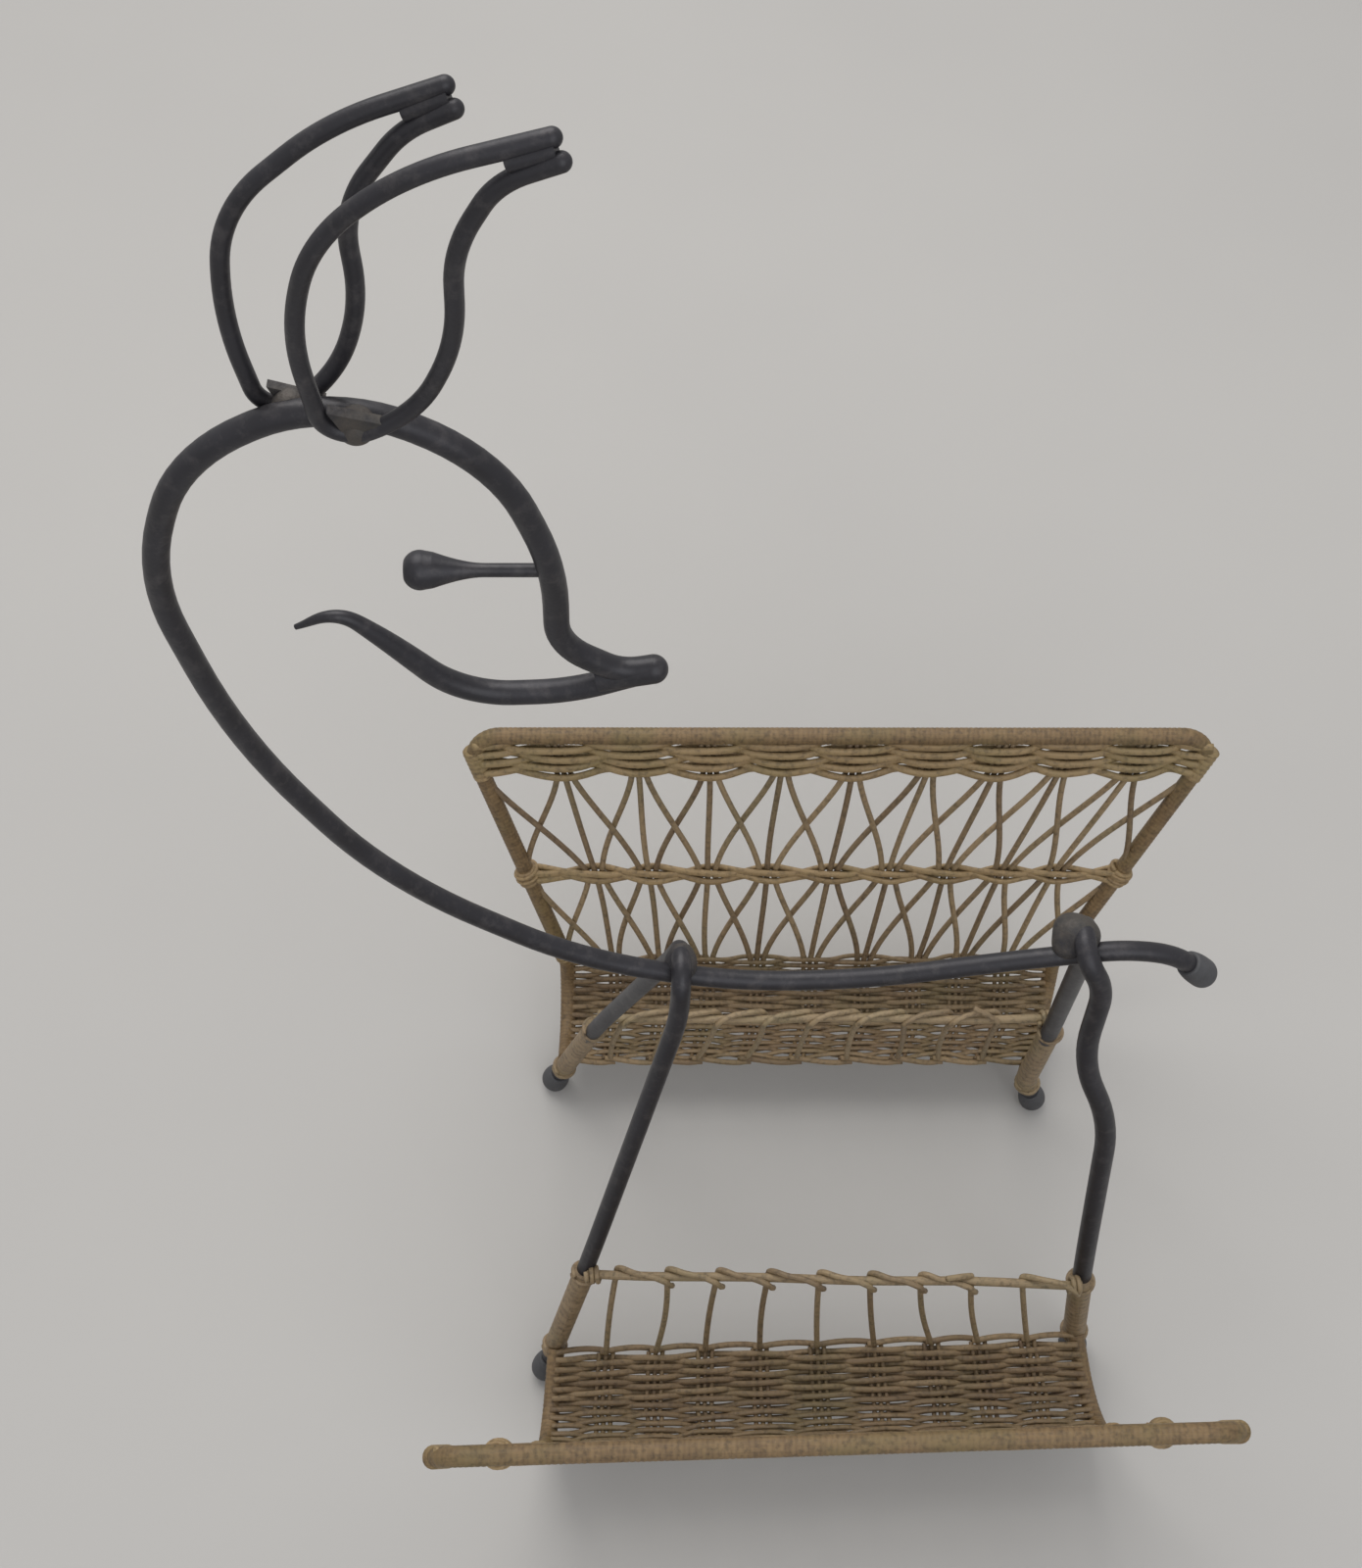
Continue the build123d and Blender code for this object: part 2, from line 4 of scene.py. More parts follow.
import bpy
import numpy as np
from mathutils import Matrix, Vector


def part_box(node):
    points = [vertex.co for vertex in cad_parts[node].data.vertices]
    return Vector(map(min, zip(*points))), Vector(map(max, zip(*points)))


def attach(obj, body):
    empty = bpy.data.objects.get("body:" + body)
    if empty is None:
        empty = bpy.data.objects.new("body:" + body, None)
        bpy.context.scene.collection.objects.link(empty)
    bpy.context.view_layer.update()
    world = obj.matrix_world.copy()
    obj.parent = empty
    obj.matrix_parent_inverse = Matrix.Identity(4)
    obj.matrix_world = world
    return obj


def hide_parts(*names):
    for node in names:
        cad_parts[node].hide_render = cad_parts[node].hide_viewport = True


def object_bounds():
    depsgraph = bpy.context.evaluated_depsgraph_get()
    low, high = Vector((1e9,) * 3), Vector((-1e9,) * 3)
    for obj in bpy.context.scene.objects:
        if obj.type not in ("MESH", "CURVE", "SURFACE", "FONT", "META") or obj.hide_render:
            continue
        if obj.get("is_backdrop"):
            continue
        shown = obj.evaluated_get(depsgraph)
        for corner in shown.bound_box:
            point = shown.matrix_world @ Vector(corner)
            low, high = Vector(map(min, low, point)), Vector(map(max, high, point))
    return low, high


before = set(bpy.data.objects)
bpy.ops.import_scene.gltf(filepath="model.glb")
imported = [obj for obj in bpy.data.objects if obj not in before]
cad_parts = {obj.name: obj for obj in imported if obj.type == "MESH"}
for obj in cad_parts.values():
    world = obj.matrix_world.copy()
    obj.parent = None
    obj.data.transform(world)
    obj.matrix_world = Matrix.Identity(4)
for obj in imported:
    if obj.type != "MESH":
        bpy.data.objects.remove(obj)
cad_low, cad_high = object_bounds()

# ============================================================ camera
# The donkey is looked down on from its near side. Sizes in this file are millimetres in the
# model's own layout: X = 0 where the front legs cross the back, Y = 0 in the plane of the
# back bar, Z = 0 on the floor. The face of the eye nail, 82 mm before X = 0, fixes them.
MM = 0.001
EYE_FACE_X = -82.0
eye_low, eye_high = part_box("eye_nail")
DATUM = Vector((eye_low.x - EYE_FACE_X * MM, (eye_low.y + eye_high.y) / 2, 0))


def at(x, y, z):
    """A point of the model's layout, in metres of the shared frame."""
    return DATUM + Vector((x, y, z)) * MM


CAMERA_AT = (-3.4, -372.1, 1020.6)
CAMERA_DOWN, CAMERA_YAW, CAMERA_ROLL = 58.0, -0.1, -0.2
camera_data = bpy.data.cameras.new("camera")
camera_data.sensor_width = 36.0
camera_data.lens = 47.3
camera = bpy.data.objects.new("camera", camera_data)
camera.location = at(*CAMERA_AT)
camera.rotation_euler = [math.radians(v) for v in (90 - CAMERA_DOWN, CAMERA_ROLL, CAMERA_YAW)]
bpy.context.scene.collection.objects.link(camera)
bpy.context.scene.camera = camera


# ============================================================ floor and light
# A plain pale sheet under the feet, evenly lit from all round. One wide soft lamp hangs
# behind and above, and a weaker one fills in from the front.
class Value:
    """A shader socket that can stand in a sum."""

    def __init__(self, finish, socket):
        self.finish, self.socket = finish, socket

    def worked(self, operation, *values):
        return self.finish.node("ShaderNodeMath", {"operation": operation}, dict(enumerate(values)))

    def __add__(self, other):
        return self.worked("ADD", self, other)

    def __sub__(self, other):
        return self.worked("SUBTRACT", self, other)

    def __rsub__(self, other):
        return self.worked("SUBTRACT", other, self)

    def __mul__(self, other):
        return self.worked("MULTIPLY", self, other)

    __radd__ = __add__
    __rmul__ = __mul__


class Finish:
    """A material with one surface shader, built up from values."""

    def __init__(self, name, **fixed):
        self.material = bpy.data.materials.new(name)
        self.material.use_nodes = True
        self.tree = self.material.node_tree
        self.shader = self.tree.nodes["Principled BSDF"]
        for socket, value in fixed.items():
            self.shader.inputs[socket.replace("_", " ")].default_value = value

    def node(self, kind, settings=None, sockets=None, out=0):
        """One node: its settings first, then the values or links of its sockets."""
        made = self.tree.nodes.new(kind)
        for key, value in (settings or {}).items():
            if key == "stops":
                ramp = made.color_ramp.elements
                while len(ramp) < len(value):
                    ramp.new(1.0)
                for stop, (place, shade) in zip(ramp, value):
                    stop.position = place
                    stop.color = (*shade, 1) if isinstance(shade, tuple) else (shade, shade, shade, 1)
            else:
                setattr(made, key, value)
        for key, value in (sockets or {}).items():
            if isinstance(value, Value):
                self.tree.links.new(value.socket, made.inputs[key])
            else:
                made.inputs[key].default_value = value
        return Value(self, made.outputs[out])

    def noise(self, place, scale, detail=3.0, rough=0.55):
        return self.node("ShaderNodeTexNoise", {"noise_dimensions": "3D"},
                         {"Vector": place, "Scale": scale, "Detail": detail, "Roughness": rough})

    def ramp(self, value, *stops):
        return self.node("ShaderNodeValToRGB", {"stops": stops}, {0: value})

    def mixed(self, mask, first, second, blend="MIX"):
        """Goes from the first colour to the second as the mask goes from 0 to 1."""
        return self.node("ShaderNodeMix", {"data_type": "RGBA", "blend_type": blend},
                         {0: mask, 6: first, 7: second}, out=2)

    def place(self):
        return self.node("ShaderNodeTexCoord", out="Object")

    def read(self, name, out):
        """A value or vector kept on the mesh itself."""
        return self.node("ShaderNodeAttribute", {"attribute_name": name}, out=out)

    def surface(self, **values):
        """Links what changes over the surface."""
        for socket, value in values.items():
            self.tree.links.new(value.socket, self.shader.inputs[socket.replace("_", " ")])

    def bumps(self, height, strength, distance):
        made = self.node("ShaderNodeBump", None,
                         {"Height": height, "Strength": strength, "Distance": distance})
        self.surface(Normal=made)


FLOOR_SIZE = 8.0
FLOOR_PALE, FLOOR_DULL = (0.47, 0.46, 0.44, 1), (0.43, 0.42, 0.405, 1)
floor_finish = Finish("floor_sheet", Roughness=0.9)
floor_cloud = floor_finish.noise(floor_finish.place(), 3.0)
floor_finish.surface(Base_Color=floor_finish.mixed(floor_cloud, FLOOR_PALE, FLOOR_DULL))
bpy.ops.mesh.primitive_plane_add(size=FLOOR_SIZE, location=(0, 0, -0.0005))
floor = bpy.context.object
floor.name = "floor"
floor.data.materials.append(floor_finish.material)
floor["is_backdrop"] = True

world = bpy.data.worlds.new("soft_room")
world.use_nodes = True
world.node_tree.nodes["Background"].inputs[0].default_value = (0.98, 0.98, 1.0, 1)
world.node_tree.nodes["Background"].inputs[1].default_value = 0.62
bpy.context.scene.world = world
bpy.context.scene.view_settings.view_transform = "Standard"


def lamp(name, place, size, power, colour):
    """A square soft lamp turned towards the middle of the model."""
    data = bpy.data.lights.new(name, "AREA")
    data.size, data.energy, data.color = size, power, colour
    made = bpy.data.objects.new(name, data)
    made.location = at(*place)
    made.rotation_euler = (at(50, 0, 250) - made.location).to_track_quat("-Z", "Y").to_euler()
    bpy.context.scene.collection.objects.link(made)


lamp("overhead", (-300, 900, 1900), 1.4, 22.0, (1.0, 0.98, 0.95))
lamp("front_fill", (500, -1500, 1500), 1.6, 12.0, (0.95, 0.97, 1.0))

# ============================================================ iron
# Round bar, bent cold, brazed and painted black: back and neck, jaw, ears, both pairs of
# legs and the rods inside the pocket rims. The paint is thin, so the bar's drawn surface
# and a bloom of dust show; the rubbing at the bends is not drawn.
IRON_BLACK = (0.018, 0.017, 0.019, 1)
IRON_BLUE = (0.034, 0.033, 0.040, 1)
IRON_DUST = (0.11, 0.10, 0.10, 1)
iron = Finish("black_iron", Metallic=0.35)
iron_place = iron.place()
iron_mottle = iron.noise(iron_place, 55.0, 4.0)
iron_fine = iron.noise(iron_place, 700.0, 3.0)
iron_dust = iron.ramp(iron.noise(iron_place, 150.0, 5.0, 0.7), (0.5, 0.0), (0.8, 0.5))
iron_base = iron.mixed(iron_mottle, IRON_BLACK, IRON_BLUE)
iron.surface(
    Base_Color=iron.mixed(iron_dust, iron_base, IRON_DUST),
    Roughness=iron_mottle * 0.25 + iron_fine * 0.12 + 0.25,
)
iron.bumps(iron_fine * 0.3 + iron_mottle * 0.7, 0.35, 0.0006)
IRON_NODES = ("back_neck_bar", "jaw_bar", "eye_nail", "near_ear", "far_ear", "front_legs",
              "rear_legs", "near_frame_rod", "far_frame_rod")


def finish_nodes(names, finish):
    """Gives CAD pieces a finish and shades their round sides smooth."""
    for name in names:
        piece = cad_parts[name]
        piece.data.materials.clear()
        piece.data.materials.append(finish.material)
        for polygon in piece.data.polygons:
            polygon.use_smooth = True


finish_nodes(IRON_NODES, iron)

# ============================================================ rubber caps
# Drop-shaped caps of dark grey rubber pushed on the four feet and on the tail. They are
# duller than the iron and greyed by handling.
RUBBER_DARK, RUBBER_GREY = (0.030, 0.031, 0.034, 1), (0.085, 0.085, 0.09, 1)
rubber = Finish("cap_rubber")
rubber_place = rubber.place()
rubber_bloom = rubber.noise(rubber_place, 180.0, 5.0, 0.65)
rubber.surface(
    Base_Color=rubber.mixed(rubber_bloom, RUBBER_DARK, RUBBER_GREY),
    Roughness=rubber_bloom * 0.2 + 0.5,
)
rubber.bumps(rubber.noise(rubber_place, 900.0), 0.3, 0.0004)
finish_nodes(("near_front_foot", "far_front_foot", "near_rear_foot", "far_rear_foot", "tail_cap"), rubber)

# ============================================================ brazing
# Brass run into the joints of the bars and left as it set, lumpy. The muzzle and the ear
# tips were painted over; at the ear roots and the crossings the paint has gone brown.
BRAZE_BROWN = (0.075, 0.058, 0.052, 1)
BRAZE_GREEN = (0.062, 0.062, 0.052, 1)
BRAZE_SOOT = (0.026, 0.025, 0.030, 1)
braze = Finish("set_brass", Metallic=0.3)
braze_place = braze.place()
braze_patches = braze.noise(braze_place, 120.0, 4.0)
braze_soot = braze.ramp(braze.noise(braze_place, 60.0, 5.0, 0.7), (0.42, 0.0), (0.62, 0.9))
braze.surface(
    Base_Color=braze.mixed(braze_soot, braze.mixed(braze_patches, BRAZE_BROWN, BRAZE_GREEN), BRAZE_SOOT),
    Roughness=braze_patches * 0.3 + 0.45,
)
braze.bumps(braze.noise(braze_place, 350.0, 4.0), 0.7, 0.001)
finish_nodes(("snout_braze", "ear_tip_braze"), iron)
finish_nodes(("ear_root_braze",), braze)

MOUNDS = {
    "front_legs_braze": ((0.0, 3.5, 286.5), (6.4, 7.0, 6.4), 5),
    "rear_legs_braze": ((154.5, 5.0, 304.5), (9.6, 8.8, 8.2), 6),
}
for node, (middle, reach, seed) in MOUNDS.items():
    bpy.ops.mesh.primitive_ico_sphere_add(subdivisions=5, radius=1.0)
    mound = bpy.context.object
    mound.name = f"{node}_mound"
    waves = random.Random(seed)
    lumps = [(Vector([waves.uniform(-1, 1) for _ in range(3)]).normalized(), waves.uniform(2, 4),
              waves.uniform(0, 6)) for _ in range(14)]
    for vertex in mound.data.vertices:
        swell = 1 + sum(0.03 * math.sin(pace * vertex.co.dot(way) + start) for way, pace, start in lumps)
        x, y, z = (m + v * swell * r for m, v, r in zip(middle, vertex.co, reach))
        vertex.co = at(x, y, z)
    mound.data.polygons.foreach_set("use_smooth", [True] * len(mound.data.polygons))
    mound.data.materials.append(braze.material)
    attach(mound, "root")
    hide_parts(node)

# ============================================================ pocket frames
# Each pocket hangs on one rod that starts at the front leg, runs under the floor, up the
# flared side, along the rim and back to the rear leg. Split cane is wound round it turn
# beside turn, so it looks like a ribbed cord.
NEAR, FAR = "near", "far"
FRAME_RADIUS = 3.7
FRAME_END_Z = 31.0
FLOOR_LINE = (116.0, 14.0)
RIM_LINE = (165.0, 204.0)
KNOT_LINE_Z = 48.0
FLOOR_BEND, SIDE_BEND, RIM_BEND = 26.0, 24.0, 13.0
LEAN = math.atan2(RIM_LINE[0] - FLOOR_LINE[0], RIM_LINE[1] - FLOOR_LINE[1])
KNOT_LINE_ACROSS = FLOOR_LINE[0] + math.tan(LEAN) * (KNOT_LINE_Z - FLOOR_LINE[1])
FRAME_CORNERS = FLOOR_LINE, (KNOT_LINE_ACROSS, KNOT_LINE_Z), RIM_LINE
FRAME_BENDS = FLOOR_BEND, SIDE_BEND, RIM_BEND
SIDES = {
    NEAR: dict(sign=-1, floor=(-63.0, 199.0), rim=(-99.5, 222.0), toe=0.03,
               ends=((-59.8, 75.9), (192.1, 69.2))),
    FAR: dict(sign=1, floor=(-59.0, 197.0), rim=(-102.0, 257.0), toe=0.0,
              ends=((-59.3, 77.3), (180.5, 69.1))),
}


def pocket_point(side, x, across, z):
    """A point of a pocket from its X, its distance from the back bar's plane and its height."""
    lay = SIDES[side]
    middle = sum(lay["floor"]) / 2
    return np.array(at(x, lay["sign"] * (across - lay["toe"] * (x - middle)), z))


def side_x(side, z, end):
    """X of the frame at the height z, at the front (0) or the rear (1)."""
    low, high = SIDES[side]["floor"][end], SIDES[side]["rim"][end]
    return low + (high - low) * max(0.0, (z - KNOT_LINE_Z) / (RIM_LINE[1] - KNOT_LINE_Z))


def rounded(points, radii, step=0.0006):
    """A line through the points with round corners, as evenly spaced places along it."""
    line = [points[0]]
    for before, corner, after, radius in zip(points, points[1:], points[2:], radii):
        back, on = before - corner, after - corner
        back, on = back / np.linalg.norm(back), on / np.linalg.norm(on)
        half = math.acos(float(np.clip(back @ on, -1, 1))) / 2
        reach = radius * MM / math.tan(half)
        centre = corner + (back + on) / np.linalg.norm(back + on) * radius * MM / math.sin(half)
        start, end = corner + back * reach - centre, corner + on * reach - centre
        swing = math.pi - 2 * half
        for t in np.linspace(0, 1, 16):
            blend = start * math.sin((1 - t) * swing) + end * math.sin(t * swing)
            line.append(centre + blend / math.sin(swing))
    line.append(points[-1])
    return evenly(np.array(line), step)


def evenly(line, step):
    """The same line with its places a step apart."""
    gaps = np.linalg.norm(np.diff(line, axis=0), axis=1)
    along = np.concatenate(([0.0], np.cumsum(gaps)))
    places = np.linspace(0, along[-1], max(3, int(along[-1] / step) + 1))
    return np.stack([np.interp(places, along, line[:, k]) for k in range(3)], axis=1)


class Work:
    """Strands gathered into one closed mesh, each with its grain and its tone."""

    def __init__(self):
        self.points, self.faces, self.grain, self.tone = [], [], [], []
        self.count = 0

    def strand(self, line, radius, sides=10, tone=0.5, rib=None, wide=1.0, facing=None):
        """A strand along a line. rib(along, turn) changes the radius and the tone, painted shade
        included; a strand that is wider than thick faces a direction."""
        line = np.asarray(line, float)
        ahead = np.gradient(line, axis=0)
        ahead /= np.linalg.norm(ahead, axis=1)[:, None]
        along = np.concatenate(([0.0], np.cumsum(np.linalg.norm(np.diff(line, axis=0), axis=1))))
        aside = np.cross(ahead[0], (0, 0, 1) if abs(ahead[0][2]) < 0.9 else (0, 1, 0))
        aside = aside if facing is None else np.asarray(facing, float)
        turns = np.arange(sides) / sides
        swing = turns * 2 * math.pi
        first = self.count
        size = np.broadcast_to(np.asarray(radius, float) * MM, (len(line),))
        for i, (here, way) in enumerate(zip(line, ahead)):
            aside = aside - way * (aside @ way)
            aside = aside / np.linalg.norm(aside)
            over = np.cross(way, aside)
            lift, shade = rib(along[i], turns) if rib else (np.ones(sides), np.full(sides, tone))
            reach = size[i] * lift
            ring = here + (np.outer(np.cos(swing) * reach, aside)
                           + np.outer(np.sin(swing) * reach * wide, over))
            self.points.append(ring)
            self.tone.append(shade)
            self.grain.append(np.stack([np.full(sides, along[i]), np.cos(swing) * size[i] + tone,
                                        np.sin(swing) * size[i]], axis=1))
        rings = len(line)
        for i in range(rings - 1):
            a = first + i * sides
            for k in range(sides):
                n = (k + 1) % sides
                self.faces.append((a + k, a + n, a + sides + n, a + sides + k))
        self.faces.append(tuple(first + k for k in reversed(range(sides))))
        self.faces.append(tuple(first + (rings - 1) * sides + k for k in range(sides)))
        self.count += rings * sides

    def piece(self, name, finish, slot, *nodes):
        """Turns the work into a piece that stands for its CAD nodes."""
        mesh = bpy.data.meshes.new(name)
        mesh.from_pydata(np.concatenate(self.points).tolist(), [], self.faces)
        mesh.attributes.new("tone", "FLOAT", "POINT").data.foreach_set("value", np.concatenate(self.tone))
        grain = np.concatenate(self.grain).ravel()
        mesh.attributes.new("grain", "FLOAT_VECTOR", "POINT").data.foreach_set("vector", grain)
        mesh.polygons.foreach_set("use_smooth", [True] * len(mesh.polygons))
        mesh.materials.append(finish.material)
        made = bpy.data.objects.new(name, mesh)
        bpy.context.scene.collection.objects.link(made)
        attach(made, "root")
        if nodes:
            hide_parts(*nodes)
        return made


def cane_finish(name, light, middle, dark, moss):
    """Old cane: drawn fibres along the strand, a tone of its own for each strand, painted shade in the
    grooves of windings, grime.
    """
    made = Finish(name)
    grain, tone = made.read("grain", "Vector"), made.read("tone", "Fac")
    stretched = made.node("ShaderNodeMapping", None, {"Vector": grain, "Scale": (60.0, 1400.0, 1400.0)})
    fibres = made.noise(stretched, 1.0, 4.0, 0.6)
    spot = made.noise(made.place(), 28.0, 4.0, 0.6)
    speck = made.noise(made.place(), 420.0, 3.0, 0.6)
    # the base colour carries the strand tones and, on windings, the painted shade of the grooves
    worn_and_groove_shade = made.ramp(tone * 0.75 + fibres * 0.5 - 0.12, (0.15, dark), (0.5, middle), (0.9, light))
    mossy = made.mixed(made.ramp(spot, (0.48, 0.0), (0.68, 0.75)), worn_and_groove_shade, moss)
    grime = made.ramp(speck, (0.30, 0.55), (0.52, 1.0))
    aged = made.mixed(1.0, mossy, grime, "MULTIPLY")
    made.surface(Base_Color=aged, Roughness=fibres * 0.25 + 0.45)
    made.bumps(fibres, 0.5, 0.0005)
    return made


bound_cane = cane_finish("bound_cane", (0.265, 0.175, 0.082), (0.19, 0.122, 0.055), (0.098, 0.058, 0.027),
                         (0.16, 0.118, 0.046, 1))
WINDING = 2.3
WINDING_OVER = 0.45


def wound(chance, pitch=WINDING, depth=0.07, spread=0.13):
    """Radius and tone of a winding: one ridge to a turn, each turn with a tone of its own, and painted shade
    in the groove between two turns.
    """
    tones = [0.5 + chance.uniform(-spread, spread) for _ in range(997)]

    def rib(along, turns):
        place = along / (pitch * MM) + turns
        part = place % 1.0
        ridge = np.sin(math.pi * part) ** 0.5
        # painted shade: the tone is made darker in the groove between two turns
        shade = np.array([tones[int(v) % 997] for v in place]) - (1 - ridge) * 0.3
        return 1.0 - depth * (1 - ridge), shade

    return rib


def frame_line(side):
    """The middle line of a pocket's frame rod."""
    lay = SIDES[side]
    corners = [[pocket_point(side, side_x(side, line[1], end), *line) for line in FRAME_CORNERS]
               for end in (0, 1)]
    front_end, rear_end = [np.array(at(x, lay["sign"] * across, FRAME_END_Z))
                           for x, across in lay["ends"]]
    points = [front_end, *corners[0], *corners[1][::-1], rear_end]
    return rounded(points, FRAME_BENDS + FRAME_BENDS[::-1])


for side, seed in ((NEAR, 11), (FAR, 12)):
    chance = random.Random(seed)
    winding = Work()
    winding.strand(frame_line(side), FRAME_RADIUS + WINDING_OVER, 18, rib=wound(chance))
    winding.piece(f"{side}_frame_winding", bound_cane, "cane", f"{side}_frame_binding")

# ============================================================ leg bindings
# The lower part of each leg is bound with wider split cane, from the inner rail down to
# just over the foot. It holds the frame's end and the rail to the iron.
peeled_cane = cane_finish("peeled_cane", (0.35, 0.26, 0.155), (0.27, 0.195, 0.112), (0.15, 0.10, 0.058),
                          (0.24, 0.19, 0.10, 1))
FRONT_LEG_RADIUS, REAR_LEG_RADIUS = 4.0, 4.4
BINDING_THICK = 1.0
BINDING_LOW, BINDING_HIGH = 20.0, 98.0
LOWER_LEGS = {
    "near_front": (-1, FRONT_LEG_RADIUS, ((-44, 59, 95), (-66, 77, 6))),
    "far_front": (1, FRONT_LEG_RADIUS, ((-42, 64, 95), (-66, 77, 6))),
    "near_rear": (-1, REAR_LEG_RADIUS, ((184, 63, 100), (195, 66, 6))),
    "far_rear": (1, REAR_LEG_RADIUS, ((183, 63, 95), (180, 65, 33), (187, 66, 6))),
}


def leg_place(sign, run, z):
    """The point of a lower leg at a height; the top run is carried on upwards."""
    for (x1, y1, z1), (x2, y2, z2) in zip(run, run[1:]):
        if z >= z2:
            t = (z1 - z) / (z1 - z2)
            return np.array(at(x1 + (x2 - x1) * t, sign * (y1 + (y2 - y1) * t), z))


for leg, (sign, radius, run) in LOWER_LEGS.items():
    chance = random.Random(leg)
    heights = np.linspace(BINDING_LOW, BINDING_HIGH, 60)
    raw = np.array([leg_place(sign, run, z) for z in heights])
    raw = np.array([raw[max(0, i - 3):i + 4].mean(axis=0) for i in range(len(raw))])
    line = evenly(raw, 0.0006)
    sleeve = Work()
    sleeve.strand(line, radius + BINDING_THICK + 0.1, 24, rib=wound(chance, 5.2, 0.035, 0.1))
    for share, turns in ((0.08, 1.15), (0.97, 1.1)):
        start = int(share * (len(line) - 1))
        swing = np.linspace(0, turns * 2 * math.pi, int(turns * 24))
        rise = (line[-1] - line[0]) / np.linalg.norm(line[-1] - line[0])
        aside = np.cross(rise, (0, 1, 0))
        aside /= np.linalg.norm(aside)
        over = np.cross(rise, aside)
        middle = line[min(start, len(line) - 1)]
        grow = (radius + BINDING_THICK + 0.4) * MM
        coil = [middle + rise * (s / (2 * math.pi) * 2.4 * MM - turns * 1.2 * MM)
                + (aside * math.cos(s) + over * math.sin(s)) * grow for s in swing]
        sleeve.strand(coil, 1.1, 8, tone=chance.uniform(0.3, 0.6))
    sleeve.piece(f"{leg}_leg_sleeve", peeled_cane, "cane", f"{leg}_leg_binding")

# ============================================================ outer panels: open reed work
# Nine groups of three reeds stand in each outer panel. In both open rows the middle reed of
# a group goes straight up and the outer two cross to the groups beside it, or to the frame.
GROUPS = 9
REED_RADIUS = 1.5
GROUP_GAP = 3.3
LAYER = 2.6
MIDDLE_AT, MIDDLE_HALF = 67.0, 4.0
RIM_WEAVE = 25.0
PANEL_SLOPE = (RIM_LINE[1] - KNOT_LINE_Z) / math.cos(LEAN)
LOW_GROUPS = (0.095, 0.19, 0.285, 0.39, 0.50, 0.61, 0.72, 0.81, 0.905)
MIDDLE_GROUPS = (0.115, 0.205, 0.305, 0.405, 0.51, 0.61, 0.705, 0.80, 0.89)
RIM_GROUPS = (0.115, 0.22, 0.32, 0.42, 0.52, 0.625, 0.72, 0.81, 0.91)


def on_panel(side, share, up, out=0.0, slip=0.0):
    """A point of the outer panel: share of its width, length up its slope, height off it,
    and a slip along the width in millimetres."""
    z = KNOT_LINE_Z + up * math.cos(LEAN) - out * math.sin(LEAN)
    across = KNOT_LINE_ACROSS + up * math.sin(LEAN) + out * math.cos(LEAN)
    front, rear = side_x(side, z, 0), side_x(side, z, 1)
    return pocket_point(side, front + (rear - front) * share + slip, across, z)


def bent_reed(side, low, high, chance, layer):
    """A reed that leaves both its groups upright and leans over in between."""
    (low_share, low_up, low_slip), (high_share, high_up, high_slip) = low, high
    bow = chance.uniform(-0.9, 0.9)
    line = []
    for t in np.linspace(0, 1, 17):
        ease = t + (t * t * (3 - 2 * t) - t) * 0.45
        share = low_share + (high_share - low_share) * ease
        slip = low_slip + (high_slip - low_slip) * ease + bow * math.sin(math.pi * t)
        lift = layer * math.sin(math.pi * t) ** 0.6 + chance.uniform(-0.05, 0.05)
        line.append(on_panel(side, share, low_up + (high_up - low_up) * t, lift, slip))
    return line


open_reed = cane_finish("open_reed", (0.34, 0.245, 0.135), (0.235, 0.163, 0.088), (0.125, 0.08, 0.044),
                        (0.20, 0.155, 0.08, 1))

ROWS = {
    "lower_reeds": (LOW_GROUPS, MIDDLE_GROUPS, 1.0, MIDDLE_AT),
    "upper_reeds": (MIDDLE_GROUPS, RIM_GROUPS, MIDDLE_AT, PANEL_SLOPE - FRAME_RADIUS + 0.5),
}
for side, seed in ((NEAR, 21), (FAR, 22)):
    for node, (lows, highs, low_up, high_up) in ROWS.items():
        chance = random.Random(f"{seed}{node}")
        reeds = Work()
        lows_all, highs_all = (0.0, *lows, 1.0), (0.0, *highs, 1.0)
        top = min(high_up, PANEL_SLOPE - RIM_WEAVE)
        for k in range(1, GROUPS + 1):
            body = bent_reed(side, (lows_all[k], low_up, 0), (highs_all[k], top, 0), chance, 0.3)
            reeds.strand(body, REED_RADIUS, 9, chance.uniform(0.2, 0.8))
        for k in range(GROUPS + 1):
            rising = ((lows_all[k], low_up, GROUP_GAP * (k > 0)),
                      (highs_all[k + 1], top, -GROUP_GAP * (k < GROUPS)))
            falling = ((lows_all[k + 1], low_up, -GROUP_GAP * (k < GROUPS)),
                       (highs_all[k], top, GROUP_GAP * (k > 0)))
            for (low, high), layer in ((rising, LAYER / 2), (falling, -LAYER / 2)):
                reeds.strand(bent_reed(side, low, high, chance, layer), REED_RADIUS, 9,
                             chance.uniform(0.2, 0.8))
        if node == "upper_reeds":
            for k in range(1, GROUPS + 1):
                for slip in (-GROUP_GAP, 0, GROUP_GAP):
                    stub = [on_panel(side, highs_all[k], up, 0, slip)
                            for up in np.linspace(top, high_up, 5)]
                    reeds.strand(stub, REED_RADIUS * 0.9, 8, chance.uniform(0.2, 0.6))
        reeds.piece(f"{side}_{node[:5]}_open_reeds", open_reed, "cane", f"{side}_{node}")

# ============================================================ middle bands
# Half way up each outer panel two pairs of weavers are twined round the groups. Each pair
# changes places between two groups, which leaves the band thick at a group and narrow
# between two.
WEAVER_RADIUS, WEAVER_WIDE = 1.35, 1.6
PAIR_OFFSET = 2.5
weaver_cane = cane_finish("weaver_cane", (0.40, 0.285, 0.145), (0.30, 0.205, 0.10), (0.17, 0.108, 0.055),
                          (0.25, 0.19, 0.085, 1))


def group_phase(groups, share):
    """How many groups lie before a share of the width, counted evenly between them."""
    marks = (0.0, *groups, 1.0)
    return float(np.interp(share, marks, range(len(marks))))


